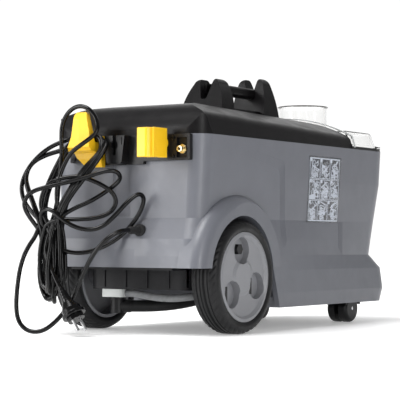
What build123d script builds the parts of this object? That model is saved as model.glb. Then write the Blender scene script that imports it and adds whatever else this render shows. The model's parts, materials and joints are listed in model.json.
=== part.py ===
"""Compact spray-extraction carpet cleaner.

X runs from the rear (cable hooks) to the front (clear lid), Y to the machine's left, Z up.
The origin is on the floor, under the middle of the machine.  Sizes are in millimetres.
"""
from build123d import *
import math
import os

# overall machine
REAR_X = -300.0            # flat rear panel
FRONT_X = 352.5            # foremost point of the bumper
SEAM_Z = 312.0             # joint between the grey tub and the black cover
SKIRT_Z = 38.0             # lower edge of the side skirts
SILL_Z = 105.0             # lower edge of the rear panel
WALL = 4.0
PANEL_DEPTH = 1.4
PANEL_STEPS = 5              # steps in a panel's border, so that it stays soft
PANEL_STEP = 3.0
SEAM_HALF = 147.0          # half width at the seam
REAR_CORNER_R = 27.0
FRONT_CORNER_R = 58.0
LID_SETBACK = 16.0         # from the bumper back to the lid's front

# rear wheels
WHEEL_X = -195.5
WHEEL_R = 90.0
WHEEL_FACE_Y = 160.0
WHEEL_WIDTH = 50.0
RIM_R = 71.0
SCOOP_ANGLES = (95, 220, 340)
SCOOP_PLACE = 42.0           # from the wheel's centre to the middle of a scoop
SCOOP_R = 21.5
SLOT = (-20.0, -11.0, 13.0)  # left and right side and half height of a slot, from its scoop's middle
PLUG_X = -16.0               # retaining plug in the upper scoop, from the wheel's centre
PLUG_Z = 44.0
PLUG_R = 9.0
PLUG_SEAT = 19.0             # its seat, inwards from the wheel's outer face
PLUG_LENGTH = 17.0
AXLE_R = 8.0
ARCH_R = 97.0
FENDER_R = 130.0
FENDER_Y = 158.0
WELL_Y = 104.0             # inner side of the wheel well

# casters
CASTER_X = 257.0
CASTER_Y = 94.0
CASTER_TRAIL = 12.0
CASTER_R = 25.0
STEM_R = 5.0

# chassis
TRAY_Z = 69.0
TRAY_HALF = 98.0
DECK_Z = SILL_Z
DECK = 4.0
MOTOR_X = -178.0
PUMP = (-92.0, -60.0)
NECK_X = 60.0                # filling neck of the clean-water tank
OUTLET_Z = 126.0             # hose from the clean-water tank to the pump

# cover, lid and tanks
COVER_FRONT_X = 183.0
COVER_TOP_Z = 371.0
COVER_EDGE_R = 16.0
LID_TOP_Z = 346.0
DOME_X = 262.0
DOME_R = 45.0
DOME_TOP_Z = 398.5
TANK_RIM_Z = 317.0
GASKET = 2.0
FLOAT_R = 20.0
FLOAT_Z = 282.0
SOCKET_Z = 232.0
SOCKET_R = 19.0            # bore for a 38 mm hose end

# handle
HANDLE_TOP_Z = 435.0
POST_TOP_R = 8.0
GRIP_Z = 408.0

# rear plate and cable hooks
PLATE_X = REAR_X - 8.0
PLATE_RIGHT = -127.0
PLATE_LEFT = 104.0
HOOK_REACH = 44.5          # from the plate to the outer face of either hook
HOOK_Y = 56.0              # tall hook, tongue up
HOOK_Z = 300.0
TURN_HOOK_Y = -76.0        # turning hook, tongue inwards
TURN_HOOK_Z = 297.5
TURN_HOOK_WIDTH = 46.0
COUPLING_Y = -113.0
COUPLING_Z = 288.0

# rocker switches
ROCKER_X = -168.0
ROCKER_Y = 48.0
ROCKER_Z = 343.0
ROCKER_TILT = 8.0          # front edge down is off

# mains cord
CORD_D = 7.0
GLAND = Vector(-309.0, -36.0, 163.0)
RELIEF_TIP_X = -341.0
PLUG_NECK = Vector(-404.0, 47.0, 74.0)
PLUG_AXIS = Vector(0.0, -0.56, -0.83).normalized()

CORD_LEAD = [(-341, -36, 163), (-354, -36, 163), (-366, -31.5, 159), (-375.5, -23, 151), (-380, -10, 139),
             (-381, 5, 121), (-380, 19, 100), (-379, 32, 76), (-382, 43, 53), (-389, 53, 34), (-398, 63, 19.5),
             (-405, 74, 9.5), (-411, 86.5, 5), (-416, 99.5, 6.5), (-419, 110.5, 13.5), (-420, 118, 25),
             (-419, 122, 40), (-415, 125, 60), (-408, 128, 84), (-400, 129, 110), (-391, 124, 135),
             (-381, 111, 158)]
CORD_TAIL = [(-396, 86, 136), (-401, 73, 114), PLUG_NECK - PLUG_AXIS * 22, PLUG_NECK]

# hoses, each run to the next point straight, with the corners rounded
HOSE_D = 19.0
FILL_D = 12.0
DRAIN_ROUTE = [(-234, 36, 41), (-218, 12, 41), (-196, -14, 43), (-168, -34, 48), (-136, -47, 55),
               (-104, -47, 55)]
FILL_ROUTE = [(-249, 34, 62), (-249, 14, 62), (-246, -14, 57), (-242, -44, 55), (-234, -70, 57),
              (-216, -89, 61), (-190, -89, 61)]
PRESSURE_ROUTE = [(-92, -60, 193), (-92, -60, 222), (-106, -76, 252), (-142, -98, 276), (-190, -110, 287),
                  (-240, -113, 288), (-288, COUPLING_Y, COUPLING_Z)]

# screws
TRAY_SCREWS = [(x, y, TRAY_Z) for x in (-60, 90, 230) for y in (-112, 112)]
PLATE_SCREWS = [(PLATE_X, y, z) for y in (-95.5, 97) for z in (277, 306)]

os.makedirs("parts", exist_ok=True)


def save(name, *solids):
    """Write one node; several solids stay separate."""
    shapes = [s for item in solids for s in (item.solids() if hasattr(item, "solids") else [item])]
    shape = shapes[0] if len(shapes) == 1 else Compound(shapes)
    export_step(shape, f"parts/{name}.step")
    return shape


def box(x0, x1, y0, y1, z0, z1):
    """Box given by its limits."""
    centre = Pos((x0 + x1) / 2, (y0 + y1) / 2, (z0 + z1) / 2)
    return centre * Box(x1 - x0, y1 - y0, z1 - z0)


def rod(a, b, r):
    """Round rod of radius r between two points."""
    a, b = Vector(*a), Vector(*b)
    plane = Plane(origin=a, z_dir=b - a)
    return plane * Cylinder(r, (b - a).length, align=(Align.CENTER, Align.CENTER, Align.MIN))


def tube(a, b, r_out, r_in):
    """Round tube between two points."""
    return rod(a, b, r_out) - rod(a, b, r_in)


def mirror_y(shape):
    return mirror(shape, Plane.XZ)


def prism_y(points, y0, y1):
    """Polygon of (x, z) points, extruded from y0 to y1."""
    face = make_face(Polyline(*[(x, 0, z) for x, z in points], close=True))
    return Pos(0, y0, 0) * extrude(face, amount=y1 - y0, dir=(0, 1, 0))


def prism_x(points, x0, x1):
    """Polygon of (y, z) points, extruded from x0 to x1."""
    face = make_face(Polyline(*[(0, y, z) for y, z in points], close=True))
    return Pos(x0, 0, 0) * extrude(face, amount=x1 - x0, dir=(1, 0, 0))


def prism_z(points, z0, z1):
    """Polygon of (x, y) points, extruded from z0 to z1."""
    face = make_face(Polyline(*[(x, y, 0) for x, y in points], close=True))
    return Pos(0, 0, z0) * extrude(face, amount=z1 - z0, dir=(0, 0, 1))


def outline(z, rear, front, w_rear, w_mid, w_front, r_rear=REAR_CORNER_R, r_front=FRONT_CORNER_R):
    """Plan outline of the tub at height z, wider or narrower along its length."""
    mid = WHEEL_X + 120
    points = [(rear, -w_rear), (mid, -w_mid), (front, -w_front),
              (front, w_front), (mid, w_mid), (rear, w_rear)]
    face = make_face(Polyline(*points, close=True))
    ends = face.vertices().sort_by(Axis.X)
    face = fillet(ends[:2], r_rear)
    ends = face.vertices().filter_by(lambda v: v.X > front - 1)
    face = fillet(ends, r_front)
    return Pos(0, 0, z) * face


# height, rear x, front x, half widths at the rear, behind the wheels and at the front
TUB_SECTIONS = [
    (SEAM_Z, REAR_X, FRONT_X - LID_SETBACK, SEAM_HALF, SEAM_HALF + 1, SEAM_HALF),
    (250.0, REAR_X, FRONT_X - 17, 144.5, 146.5, 143.5),
    (182.0, REAR_X, FRONT_X - 30, 141.0, 144.0, 138.0),
    (150.0, REAR_X - 15, FRONT_X - 37, 147.0, 148.0, 135.5),
    (123.0, REAR_X - 18, FRONT_X - 43, 150.0, 150.0, 134.0),
    (99.0, REAR_X - 19, FRONT_X - 7, 152.0, 151.0, 140.0),
    (62.0, REAR_X - 19, FRONT_X, 152.0, 152.0, 142.0),
    (SKIRT_Z, REAR_X - 19, FRONT_X - 11, 152.0, 152.0, 141.0),
]


def tub_solid(inset=0.0):
    """Outer form of the tub, shrunk by inset on every side."""
    faces = []
    for z, rear, front, w_rear, w_mid, w_front in TUB_SECTIONS:
        faces.append(outline(z, rear + inset, front - inset, w_rear - inset, w_mid - inset, w_front - inset,
                             REAR_CORNER_R - inset, FRONT_CORNER_R - inset))
    return loft(faces, ruled=True)


def well_cut(r, inner_y, grow):
    """Space that a rear wheel takes from the tub, on both sides."""
    round_part = Pos(WHEEL_X, 0, WHEEL_R) * Rot(90, 0, 0) * Cylinder(r, 400)
    foot = prism_y([(-340, 0), (-340, SILL_Z + grow), (WHEEL_X + r, SILL_Z + grow),
                    (WHEEL_X + 117 + grow, SKIRT_Z), (WHEEL_X + 118 + grow, 0)], -200, 200)
    return (round_part + foot) - box(-400, 0, -inner_y, inner_y, -10, 300)


def fender(side):
    """Flare over one rear wheel, fading into the side in front of the wheel."""
    disc = Pos(WHEEL_X, 0, WHEEL_R) * Rot(90, 0, 0) * Cylinder(FENDER_R, 2 * FENDER_Y)
    disc = fillet(disc.edges().filter_by(GeomType.CIRCLE), 20)
    wedge_points = [(-330, 116), (-330, FENDER_Y), (-225, FENDER_Y), (-66, 150.5), (-66, 116)]
    wedge_face = make_face(Polyline(*[(x, side * y, SILL_Z) for x, y in wedge_points], close=True))
    return disc & extrude(wedge_face, amount=130, dir=(0, 0, 1))


def body_shell():
    shell = tub_solid()
    for side in (-1, 1):
        shell = shell + fender(side)
    cavity = tub_solid(WALL) + box(-290, FRONT_X - 60, -120, 120, 20, 60)
    cavity = cavity + box(-290, 300, -120, 120, SEAM_Z - 20, SEAM_Z + 20)
    cavity = cavity + box(-270, 290, -137, 137, 295, 330)
    cavity = cavity - well_cut(ARCH_R + WALL, WELL_Y - WALL, WALL)
    shell = shell - cavity
    shell = shell - box(-400, WHEEL_X + 121, -WELL_Y + WALL, WELL_Y - WALL, 0, SILL_Z)
    shell = shell - box(-400, WHEEL_X + 116, -143, 143, 0, SILL_Z)
    shell = shell - box(-400, WHEEL_X - ARCH_R, -200, 200, 0, SILL_Z)
    shell = shell - well_cut(ARCH_R, WELL_Y, 0)
    # shallow panels pressed into the side walls
    for step in range(PANEL_STEPS):
        depth = PANEL_DEPTH * (PANEL_STEPS - step) / PANEL_STEPS
        spread = PANEL_STEP * step
        skin = tub_solid() - tub_solid(depth)
        upper = prism_y([(-278 - spread, 284 + spread), (-238, 287 + spread), (-150, 281 + spread),
                         (-68 + spread, 266 + spread), (-62 + spread, 200), (-62 + spread, 150 - spread),
                         (-278 - spread, 150 - spread)], -200, 200)
        upper = fillet(upper.edges().filter_by(Axis.Y), 12)
        lower = prism_y([(0, 181), (145 + spread, 181), (145 + spread, 136 - spread),
                         (0, 136 - spread)], -200, 200)
        for y0, y1 in ((-200, -100), (100, 200)):
            side = box(-300, 200, y0, y1, 100, 300)
            shell = shell - (skin & upper & side - fender(math.copysign(1, y0)))
            shell = shell - (skin & lower & side)
    # channel under the nozzle bracket
    channel = box(REAR_X - 10, REAR_X + 3, -9, 24, 186, 268)
    shell = shell - fillet(channel.edges().filter_by(Axis.Z).group_by(Axis.X)[-1], 2.9)
    # low step in the left half of the sill
    shell = shell - box(-330, REAR_X - 16.5, -30, 108, SILL_Z - 5, 134)
    # seat of the cord gland, suction socket and hose coupling
    shell = shell - rod(GLAND + Vector(-20, 0, 0), GLAND + Vector(30, 0, 0), 9)
    shell = shell - rod((300, 0, 232), (360, 0, 232), 24)
    shell = shell - rod((-310, COUPLING_Y, COUPLING_Z), (-290, COUPLING_Y, COUPLING_Z), 9)
    return shell


def cover_form(inset=0.0):
    """Rounded form of the rear cover, shrunk by inset."""
    rear, front, half = REAR_X + inset, COVER_FRONT_X, SEAM_HALF - inset
    plan = make_face(Polyline((rear, -half), (front, -half), (front, half), (rear, half), close=True))
    plan = fillet(plan.vertices().sort_by(Axis.X)[:2], 32 - inset)
    block = Pos(0, 0, SEAM_Z) * extrude(plan, amount=80)
    side = [Line((rear, 0, SEAM_Z), (rear, 0, 322)),
            ThreePointArc((rear, 0, 322), (rear + 13, 0, 347 - inset), (rear + 44, 0, 362 - inset)),
            Spline((rear + 44, 0, 362 - inset), (-150, 0, 372 - inset), (20, 0, COVER_TOP_Z + 2 - inset),
                   (front, 0, 366 - inset), tangents=((1, 0, 0.16), (1, 0, -0.12))),
            Line((front, 0, 366 - inset), (front, 0, SEAM_Z)),
            Line((front, 0, SEAM_Z), (rear, 0, SEAM_Z))]
    profile = make_face(side)
    block = block & (Pos(0, -200, 0) * extrude(profile, amount=400, dir=(0, 1, 0)))
    sections = []
    for x, shoulder, top in ((rear - 10, 345.0, COVER_TOP_Z + 7), (front + 10, 332.0, COVER_TOP_Z - 4)):
        lean = half - 5
        lines = [Line((x, -half, SEAM_Z - 1), (x, -lean, shoulder - inset)),
                 ThreePointArc((x, -lean, shoulder - inset), (x, 0, top - inset),
                               (x, lean, shoulder - inset)),
                 Line((x, lean, shoulder - inset), (x, half, SEAM_Z - 1)),
                 Line((x, half, SEAM_Z - 1), (x, -half, SEAM_Z - 1))]
        sections.append(make_face(lines))
    return block & loft(sections, ruled=True)


def top_cover():
    outer = cover_form()
    ridge = outer.edges().filter_by(
        lambda e: e.length > 200 and e.center().Z > 325 and abs(e.center().Y) > 130)
    outer = fillet(ridge, COVER_EDGE_R)
    inner = cover_form(WALL) + box(REAR_X + 40, COVER_FRONT_X - 2, -138, 138, SEAM_Z - 5, SEAM_Z + 2)
    shell = outer - (inner & box(-400, COVER_FRONT_X - WALL, -200, 200, 0, 400))
    for y in (-ROCKER_Y, ROCKER_Y):
        shell = shell - box(ROCKER_X - 25.5, ROCKER_X + 25.5, y - 17.5, y + 17.5, 340, 390)
        # frame around the rocker, hanging under the cover
        frame = box(ROCKER_X - 29, ROCKER_X + 29, y - 21, y + 21, 332, 380) & cover_form(1)
        frame = frame - box(ROCKER_X - 25.5, ROCKER_X + 25.5, y - 17.5, y + 17.5, 329, 391)
        frame = frame - rod((ROCKER_X, y - 25, ROCKER_Z), (ROCKER_X, y + 25, ROCKER_Z), 2.0)
        shell = shell + frame
    return shell


def rocker(y):
    """Rocker switch with a cupped top and a bore for its pin."""
    profile = [(-21, -2), (-9, -9), (9, -9), (21, -2), (21, 21), (0, 18), (-21, 21)]
    body = prism_y(profile, -16.5, 16.5) - rod((0, -20, 0), (0, 20, 0), 2.05)
    return Pos(ROCKER_X, y, ROCKER_Z) * Rot(0, ROCKER_TILT, 0) * body


def post(x_rear_base, x_rear_top, x_front_base, x_front_top, base_half, top_half, top_z, notch_z):
    """Handle post with two rounded prongs and a tapering notch between them."""
    side = prism_y([(x_rear_base, 340), (x_front_base, 340), (x_front_top, top_z),
                    (x_rear_top, top_z)], -60, 60)
    side = fillet(side.edges().filter_by(Axis.Y).group_by(Axis.Z)[-1], POST_TOP_R)
    prong = top_half
    lines = [Line((0, -base_half, 340), (0, base_half, 340)),
             ThreePointArc((0, base_half, 340), (0, (base_half + prong) / 2 + 4, 392),
                           (0, prong, top_z - 9)),
             ThreePointArc((0, prong, top_z - 9), (0, prong - 5.5, top_z - 1.8), (0, 16.5, top_z)),
             Line((0, 16.5, top_z), (0, -16.5, top_z)),
             ThreePointArc((0, -16.5, top_z), (0, -prong + 5.5, top_z - 1.8), (0, -prong, top_z - 9)),
             ThreePointArc((0, -prong, top_z - 9), (0, -(base_half + prong) / 2 - 4, 392),
                           (0, -base_half, 340))]
    front = Pos(-150, 0, 0) * extrude(make_face(lines), amount=400, dir=(1, 0, 0))
    notch = prism_x([(-5.5, notch_z), (5.5, notch_z), (12, top_z - 8), (15.5, top_z + 5),
                     (-15.5, top_z + 5), (-12, top_z - 8)], -150, 250)
    notch = fillet(notch.edges().filter_by(Axis.X).group_by(Axis.Z)[0], 4)
    return (side & front) - notch


def carry_handle():
    rear = post(x_rear_base=-94, x_rear_top=-66, x_front_base=-48, x_front_top=-36,
                base_half=39, top_half=25, top_z=423, notch_z=388)
    front = post(x_rear_base=62, x_rear_top=76, x_front_base=127, x_front_top=97,
                 base_half=31, top_half=25, top_z=HANDLE_TOP_Z, notch_z=406)
    bar = box(-60, 96, -10, 10, GRIP_Z - 10, GRIP_Z + 9)
    bar = fillet(bar.edges().filter_by(Axis.X), 7)
    bar = bar - box(-61, -36, -5.4, 5.4, 388, 430)
    foot = box(-60, 96, -24, 24, 355, 375)
    foot = fillet(foot.edges().filter_by(Axis.Z), 8)
    handle = rear + front + foot + bar
    return handle - cover_form()


def tall_hook():
    """Fixed cable hook: tongue, arm, heel and a round stem in the plate."""
    lines = [(0.4, -37), (8, -37), (13, -24), (20, -15), (30, -12), (37, -12), (40, -7),
             (HOOK_REACH, -7), (HOOK_REACH, 36), (40, 48.5), (34, 48.5), (31, 10), (27, 2), (15, 2),
             (8, 12), (0.4, 12)]
    body = prism_y([(-out, up) for out, up in lines], -24, 24)
    taper = [(-22, -37), (-22, 16), (-16, 46), (-13, 48.5), (4, 48.5), (7.5, 45), (13.5, 10),
             (24, -12), (24, -22), (10, -37)]
    body = body & prism_x(taper, -60, 20)
    # the tongue's outer face falls away on both sides of a low ridge
    ridge = prism_z([(-60, -30), (-HOOK_REACH + 3, -30), (-HOOK_REACH, -4), (-HOOK_REACH + 3, 24),
                     (-60, 24)], -7, 60)
    body = body - ridge
    return Pos(PLATE_X, HOOK_Y, HOOK_Z) * (body + rod((-1, 0, 0), (7, 0, 0), 8))


def turning_hook():
    """Short cable hook on a round pivot: hollowed outer face, tongue inwards at rest."""
    lines = [(7, -14), (HOOK_REACH - 1, -14), (HOOK_REACH - 1, -12.5), (37.5, -11), (36, -9), (37.8, -6),
             (42, -3.3), (44, -1), (HOOK_REACH, 2), (HOOK_REACH, 16), (43, 17.5), (39, 17.5), (33, 10),
             (27, 2), (20, -2.5), (7, -3)]
    half = TURN_HOOK_WIDTH / 2
    body = prism_y([(-out, up) for out, up in lines], -half, half)
    plan = prism_x([(-half, -14), (half, -14), (half, 8), (half - 5, 18), (-half, 18)], -60, 20)
    body = body & plan
    stem = rod((-8, 0, 0), (7, 0, 0), 8) + rod((-8, 0, 0), (-0.4, 0, 0), 12)
    return Pos(PLATE_X, TURN_HOOK_Y, TURN_HOOK_Z) * Rot(-90, 0, 0) * (body + stem)


def hook_plate():
    """Moulded rear plate that carries the hooks and the hose coupling."""
    plate = box(PLATE_X, REAR_X, PLATE_RIGHT, PLATE_LEFT, 271, SEAM_Z - 0.5)
    plate = plate + box(PLATE_X, REAR_X, -40, 40, 266, 275)
    plate = fillet(plate.edges().filter_by(Axis.X), 2)
    for y, z in ((HOOK_Y, HOOK_Z), (TURN_HOOK_Y, TURN_HOOK_Z)):
        plate = plate - rod((PLATE_X - 5, y, z), (PLATE_X + 10, y, z), 8.05)
    # recess with thin walls around the hose coupling
    plate = plate - box(PLATE_X - 1, REAR_X - 3, -122, -103, 275, 306)
    plate = plate - rod((-320, COUPLING_Y, COUPLING_Z), (-290, COUPLING_Y, COUPLING_Z), 6)
    for x, y, z in PLATE_SCREWS:
        plate = plate - rod((x - 1, y, z), (REAR_X + 1, y, z), 1.6)
    return plate


def nozzle_bracket():
    """Tapered bracket in the middle of the plate with a keyhole slot for the spray lance."""
    outer = prism_x([(24, SEAM_Z - 0.5), (20, 267), (-9, 267), (-15, SEAM_Z - 0.5)], PLATE_X - 16, PLATE_X)
    outer = fillet(outer.edges().filter_by(Axis.X).group_by(Axis.Z)[0], 6)
    pocket = prism_x([(15, 320), (12.5, 276), (-3, 276), (-6, 320)], PLATE_X - 13, PLATE_X - 3)
    slot = prism_x([(8, 320), (8, 303), (11, 300), (11, 293), (7.5, 290), (7.5, 281), (1.5, 281),
                    (1.5, 290), (-2, 293), (-2, 300), (1, 303), (1, 320)], PLATE_X - 20, PLATE_X - 10)
    slit = box(PLATE_X - 20, PLATE_X - 12, -10.5, -9, 297, 309)
    return outer - pocket - slot - slit


def hose_coupling():
    """Turned spigot of the spray-hose coupling with a bore through it."""
    def along(x0, x1, r):
        return rod((PLATE_X + x0, COUPLING_Y, COUPLING_Z), (PLATE_X + x1, COUPLING_Y, COUPLING_Z), r)
    return along(-8, 20, 4.2) + along(0.5, 5, 7) + along(-8, -5.5, 4.9) - along(-10, 25, 2.5)


def revolve_y(points, x=0.0, z=0.0):
    """Solid of revolution about an axis along Y; points are (radius, y)."""
    face = make_face(Polyline(*[(r, y, 0) for r, y in points], close=True))
    return Pos(x, 0, z) * revolve(face, Axis.Y, 360)


def tyre():
    """Right-hand tyre with circumferential grooves."""
    inner, outer = -(WHEEL_FACE_Y - WHEEL_WIDTH), -WHEEL_FACE_Y
    r = WHEEL_R
    points = [(RIM_R + 0.0, inner), (r - 8, inner), (r - 2, inner - 5)]
    groove = 1.6
    for k in range(5):
        y = inner - 9 - 8 * k
        points += [(r, y + 1.5), (r, y), (r - groove, y - 0.8), (r - groove, y - 2.2), (r, y - 3)]
    points += [(r, outer + 8), (r - 2.5, outer + 3.5), (r - 8, outer + 0.5), (RIM_R + 4, outer),
               (RIM_R, outer + 2)]
    return revolve_y(points, WHEEL_X, WHEEL_R)


def scoop_places():
    """X and Z of the scoops' middles, from the wheel's centre."""
    return [(SCOOP_PLACE * math.cos(math.radians(a)), SCOOP_PLACE * math.sin(math.radians(a)))
            for a in SCOOP_ANGLES]


def slot_block(x, z, y0, y1):
    """Block that fills the slot in the scoop at x, z."""
    return box(x + SLOT[0], x + SLOT[1], y0, y1, z - SLOT[2], z + SLOT[2])


def rim():
    """Right-hand wheel disc: deep barrel, raised lip, three scooped pockets with slots."""
    inner, outer = -(WHEEL_FACE_Y - WHEEL_WIDTH), -WHEEL_FACE_Y
    points = [(AXLE_R + 0.05, inner - 2), (19, inner - 2), (19, outer + 22), (RIM_R - 5, outer + 24),
              (RIM_R - 5, inner - 2), (RIM_R, inner - 2), (RIM_R, outer + 2.5), (RIM_R - 5, outer + 1.5),
              (RIM_R - 9, outer + 6), (30, outer + 7), (24, outer + 4), (0, outer + 4), (0, outer + 12),
              (14, outer + 12), (14, outer + 21), (AXLE_R + 0.05, outer + 21)]
    disc = revolve_y(points)
    for x, z in scoop_places():
        ramp = Pos(x, outer + 5, z) * Rot(0, 0, 20) * Box(60, 26, 50)
        scoop = ramp & rod((x, outer - 5, z), (x, outer + 17, z), SCOOP_R)
        disc = disc - scoop - slot_block(x, z, outer - 1, outer + 30)
    disc = disc - rod((PLUG_X, outer - 1, PLUG_Z), (PLUG_X, outer + PLUG_SEAT, PLUG_Z), PLUG_R + 0.7)
    return Pos(WHEEL_X, 0, WHEEL_R) * disc


def wheel_plugs():
    """Black retaining plug in the upper scoop and the two flat tabs in the lower slots."""
    hexagon = extrude(RegularPolygon(PLUG_R, 6), amount=PLUG_LENGTH)
    plug_solid = Pos(WHEEL_X + PLUG_X, PLUG_SEAT - WHEEL_FACE_Y, WHEEL_R + PLUG_Z) * Rot(90, 0, 0) * hexagon
    place = Pos(WHEEL_X, 0, WHEEL_R)
    return [plug_solid] + [place * slot_block(x, z, 8 - WHEEL_FACE_Y, 20 - WHEEL_FACE_Y)
                           for x, z in scoop_places()[1:]]


def caster(y):
    """One twin-wheel caster: stem, hood with web, wheels and pin."""
    wx = CASTER_X - CASTER_TRAIL
    stem = rod((CASTER_X, y, 50), (CASTER_X, y, TRAY_Z + 22), STEM_R)
    flange = rod((CASTER_X, y, 55.5), (CASTER_X, y, 60), 12)
    web = box(wx - 8, CASTER_X + 7, y - 3.5, y + 3.5, 14, 57)
    disc = Pos(wx, y, CASTER_R) * Rot(90, 0, 0) * Cylinder(29, 44)
    disc = disc - Pos(wx, y, CASTER_R) * Rot(90, 0, 0) * Cylinder(26.5, 50)
    hood = disc & box(wx - 40, wx + 40, y - 30, y + 30, CASTER_R + 7, 60)
    top = box(wx - 12, wx + 16, y - 10, y + 10, 51.8, 55.6)
    pin_cut = rod((wx, y - 30, CASTER_R), (wx, y + 30, CASTER_R), 3.0)
    hood = hood + web + top + flange + stem - pin_cut
    wheels = []
    for side in (-1, 1):
        wheel = Pos(wx, y + side * 12.2, CASTER_R) * Rot(90, 0, 0) * Cylinder(CASTER_R, 16.4)
        outer_edge = wheel.edges().filter_by(GeomType.CIRCLE).sort_by(Axis.Y)[-1 if side > 0 else 0]
        wheel = fillet(outer_edge, 7)
        wheel = wheel - rod((wx, y - 30, CASTER_R), (wx, y + 30, CASTER_R), 3.05)
        wheels.append(wheel)
    pin = rod((wx, y - 20.2, CASTER_R), (wx, y + 20.2, CASTER_R), 3.0)
    return hood, wheels, pin


def base_tray():
    """Ribbed chassis tray with a flange closing the tub's rear and sockets for casters."""
    rear, front = -266.0, 318.0
    tray = box(rear, -70, -TRAY_HALF, TRAY_HALF, TRAY_Z, SILL_Z)
    tray = fillet(tray.edges().filter_by(Axis.Z).group_by(Axis.X)[0], 18)
    tray = tray + box(-72, front - 30, -128, 128, TRAY_Z, SILL_Z)
    hollow = box(rear + 4, -74, -TRAY_HALF + 4, TRAY_HALF - 4, TRAY_Z + 4, SILL_Z + 1)
    hollow = hollow + box(-76, front - 34, -124, 124, TRAY_Z + 4, SILL_Z + 1)
    tray = tray - hollow
    tray = tray + box(REAR_X - 12, rear + 2, -TRAY_HALF, TRAY_HALF, SILL_Z - 4, SILL_Z)
    for k in range(8):
        x = rear + 24 * k + 12
        tray = tray + box(x, x + 3, -TRAY_HALF + 2, TRAY_HALF - 2, TRAY_Z + 2, TRAY_Z + 12)
    for y in (-CASTER_Y, CASTER_Y):
        tray = tray + rod((CASTER_X, y, TRAY_Z + 1), (CASTER_X, y, SILL_Z - 5), 11)
        tray = tray - rod((CASTER_X, y, TRAY_Z - 1), (CASTER_X, y, TRAY_Z + 23), STEM_R + 0.05)
    # vertical corner ribs on the rear face and cooling slots in the floor
    for y in (-62, -20, 22, 64):
        tray = tray + box(rear - 2, rear + 2, y, y + 3, TRAY_Z + 3, SILL_Z - 3)
    for k in range(7):
        tray = tray - box(-60, -20, -42 + 12 * k, -38 + 12 * k, TRAY_Z - 1, TRAY_Z + 5)
    for x, y, z in TRAY_SCREWS:
        tray = tray - rod((x, y, z - 1), (x, y, z + 5), 1.6)
    tray = tray - rod((WHEEL_X, -130, WHEEL_R), (WHEEL_X, 130, WHEEL_R), AXLE_R)
    tray = tray - rod((-246, 54, TRAY_Z - 1), (-246, 54, TRAY_Z + 16), 8)
    return tray


def lid_outline(z, inset):
    """Plan of the lid, square at the back and rounded at the front corners."""
    front, half = FRONT_X - LID_SETBACK - 1 - inset, SEAM_HALF - inset
    rear = COVER_FRONT_X + 0.6 + inset * 0.4
    face = make_face(Polyline((rear, -half), (front, -half), (front, half), (rear, half), close=True))
    face = fillet(face.vertices().sort_by(Axis.X)[2:], FRONT_CORNER_R - inset * 0.8)
    return Pos(0, 0, z) * face


def clear_lid():
    """Clear lid: rim, sloping sides, flat top, dome and a strip along the cover's front edge."""
    outer = loft([lid_outline(TANK_RIM_Z + 4, 9), lid_outline(LID_TOP_Z, 17)], ruled=True)
    outer = fillet(outer.edges().filter_by(lambda e: e.center().Z > LID_TOP_Z - 1), 5)
    outer = outer + extrude(lid_outline(TANK_RIM_Z, 0), amount=4)
    strip = Pos(0.6, 0, 0) * extrude(cover_front_face(1.2), amount=9, dir=(1, 0, 0))
    strip = strip & box(COVER_FRONT_X, COVER_FRONT_X + 12, -160, 160, TANK_RIM_Z + 2, 400)
    strip = strip - (Pos(3.2, 0, 0) * extrude(cover_front_face(-3), amount=9, dir=(1, 0, 0)))
    inner = loft([lid_outline(TANK_RIM_Z - 1, 11.5), lid_outline(LID_TOP_Z - 3, 19.5)], ruled=True)
    dome = rod((DOME_X, 0, LID_TOP_Z - 3), (DOME_X, 0, DOME_TOP_Z), DOME_R)
    dome = dome + rod((DOME_X, 0, DOME_TOP_Z - 2), (DOME_X, 0, DOME_TOP_Z), DOME_R + 1.5)
    hollow = rod((DOME_X, 0, LID_TOP_Z), (DOME_X, 0, DOME_TOP_Z - 3), DOME_R - 3)
    throat = rod((DOME_X, 0, LID_TOP_Z - 6), (DOME_X, 0, LID_TOP_Z + 1), 20)
    return outer - inner + strip + dome - hollow - throat


def cover_front_face(grow):
    """Cross-section of the cover's front edge, grown outwards."""
    half, lean, shoulder = SEAM_HALF + grow, SEAM_HALF - 5.2 + grow, 333.0 + grow
    top = COVER_TOP_Z - 3 + grow
    x = COVER_FRONT_X
    lines = [Line((x, -half, SEAM_Z), (x, -lean, shoulder)),
             ThreePointArc((x, -lean, shoulder), (x, 0, top), (x, lean, shoulder)),
             Line((x, lean, shoulder), (x, half, SEAM_Z)), Line((x, half, SEAM_Z), (x, -half, SEAM_Z))]
    return make_face(lines)


def dirty_tank():
    """Dirty-water tank hanging by its rim in the front of the tub."""
    rim_part = extrude(lid_outline(SEAM_Z, 0), amount=TANK_RIM_Z - GASKET - SEAM_Z)
    outer = loft([lid_outline(212, 28), lid_outline(SEAM_Z + 1, 9)], ruled=True)
    inner = loft([lid_outline(216, 31.5), lid_outline(TANK_RIM_Z + 1, 12)], ruled=True)
    port = rod((290, 0, SOCKET_Z), (345, 0, SOCKET_Z), 19)
    return rim_part + outer - inner - port


def lid_gasket():
    """Rubber gasket between the tank's rim and the lid."""
    ring = extrude(lid_outline(TANK_RIM_Z - GASKET, 0.5), amount=GASKET)
    return ring - extrude(lid_outline(TANK_RIM_Z - GASKET - 1, 7), amount=GASKET + 2)


def float_cage():
    """Slotted cage of the float valve, hanging under the lid."""
    top, bottom = LID_TOP_Z - 3, 262
    cage = tube((DOME_X, 0, bottom), (DOME_X, 0, top), 26, 23.5)
    cage = cage + tube((DOME_X, 0, bottom), (DOME_X, 0, bottom + 3), 26, 11)
    for k in range(4):
        window = box(-7, 7, 15, 30, bottom + 10, top - 10)
        cage = cage - Pos(DOME_X, 0, 0) * Rot(0, 0, 90 * k + 45) * window
    return cage


def float_ball():
    return Pos(DOME_X, 0, FLOAT_Z) * Sphere(FLOAT_R)


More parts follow.
